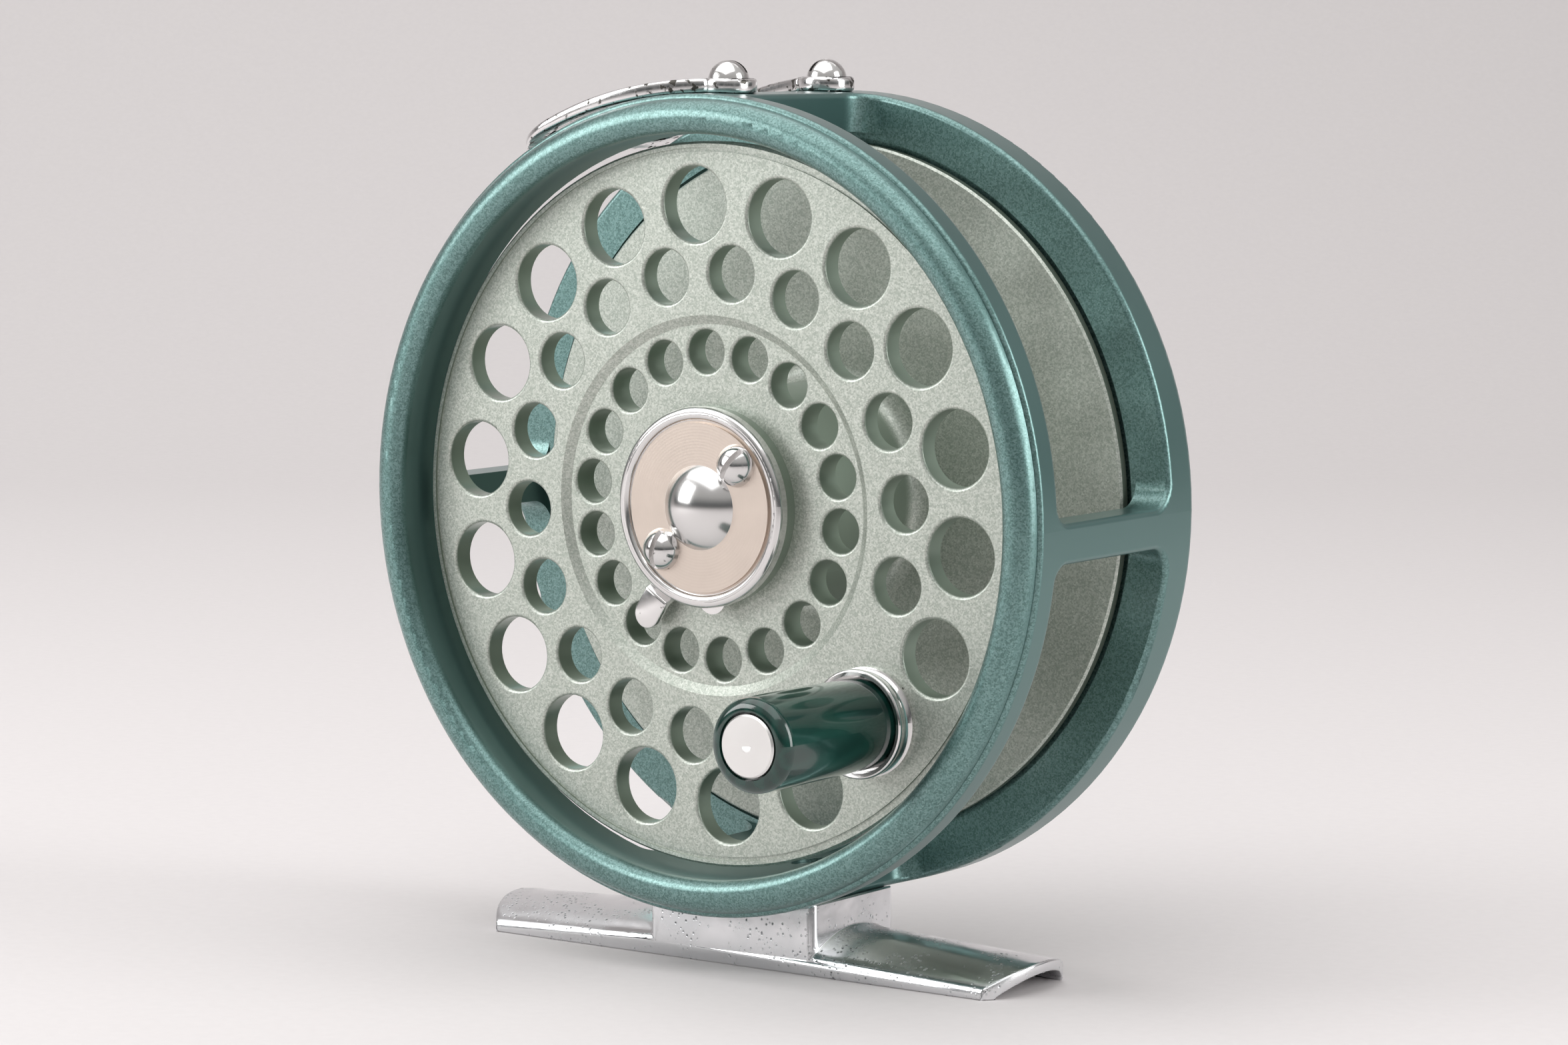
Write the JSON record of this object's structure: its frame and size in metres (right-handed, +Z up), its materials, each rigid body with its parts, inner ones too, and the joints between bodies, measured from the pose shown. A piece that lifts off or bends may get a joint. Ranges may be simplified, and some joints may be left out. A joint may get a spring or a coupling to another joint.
{
  "type": "fly reel",
  "caption": "Fly reel: a perforated spool turns on a spindle in an open pillared cage with a click check, a spring latch, a winding handle, a line guard and a foot for a rod's reel seat.",
  "frame": {"origin": "middle of the foot's flat underside, where it rests on a rod's reel seat", "axes": "+Z up from the foot to the spindle, Y along the spindle with -Y towards the handle side, X along the foot and the rod"},
  "size_m": [0.09, 0.0549, 0.1],
  "materials": {
    "frame_enamel": "dark teal metallic enamel, semi-gloss",
    "spool_enamel": "pale sage metallic enamel with a fine sparkle, satin",
    "chrome": "polished chrome plate",
    "foot_alloy": "cast alloy, worn bright plate with small pits",
    "steel": "machined steel",
    "bronze": "turned bronze",
    "handle_plastic": "very dark green gloss plastic"
  },
  "bodies": {
    "frame": {"frame_cage": "frame_enamel", "foot": "foot_alloy", "foot_screws": "steel", "line_guard": "chrome", "guard_screws": "chrome", "spindle": "steel", "spindle_nut": "steel", "pawl_stud": "steel", "check_spring": "steel", "spring_seat": "steel", "seat_screws": "steel"},
    "bush": {"hub_bush": "bronze"},
    "spool": {"spool": "spool_enamel", "ratchet_wheel": "steel", "ratchet_screws": "steel", "latch_cover": "chrome", "cover_screws": "chrome", "latch_spring": "steel", "handle_cup": "chrome", "handle_pin": "steel", "handle_nut": "steel"},
    "handle": {"handle_knob": "handle_plastic"},
    "latch": {"latch_lever": "chrome"},
    "pawl": {"click_pawl": "bronze"},
    "regulator": {"regulator_cam": "steel", "regulator_knob": "frame_enamel", "regulator_screw": "steel"}
  },
  "joints": [
    {"name": "spool_release", "type": "slide", "parent": "frame", "child": "bush", "axis": [0, -1, 0], "range_m": [0, 0.04]},
    {"name": "spool_spin", "type": "hinge", "parent": "bush", "child": "spool", "pos_m": [0, 0.0007, 0.0515], "axis": [0, 1, 0], "continuous": true},
    {"name": "handle_spin", "type": "hinge", "parent": "spool", "child": "handle", "pos_m": [0.02115, -0.0233, 0.02952], "axis": [0, 1, 0], "continuous": true},
    {"name": "latch_press", "type": "hinge", "parent": "spool", "child": "latch", "pos_m": [0.00504, -0.01166, 0.05636], "axis": [0, -1, 0], "range_deg": [0, 8], "stiffness_Nm_per_rad": 0.05, "springref_deg": -11.46, "deforming": ["latch_spring"]},
    {"name": "pawl_click", "type": "hinge", "parent": "frame", "child": "pawl", "pos_m": [0.009, 0.01275, 0.0621], "axis": [0, 1, 0], "range_deg": [0, 8], "stiffness_Nm_per_rad": 0.05, "springref_deg": -11.46, "deforming": ["check_spring"]},
    {"name": "regulator_turn", "type": "hinge", "parent": "frame", "child": "regulator", "pos_m": [0, 0.0177, 0.0703], "axis": [0, 1, 0], "range_deg": [0, 180]}
  ]
}
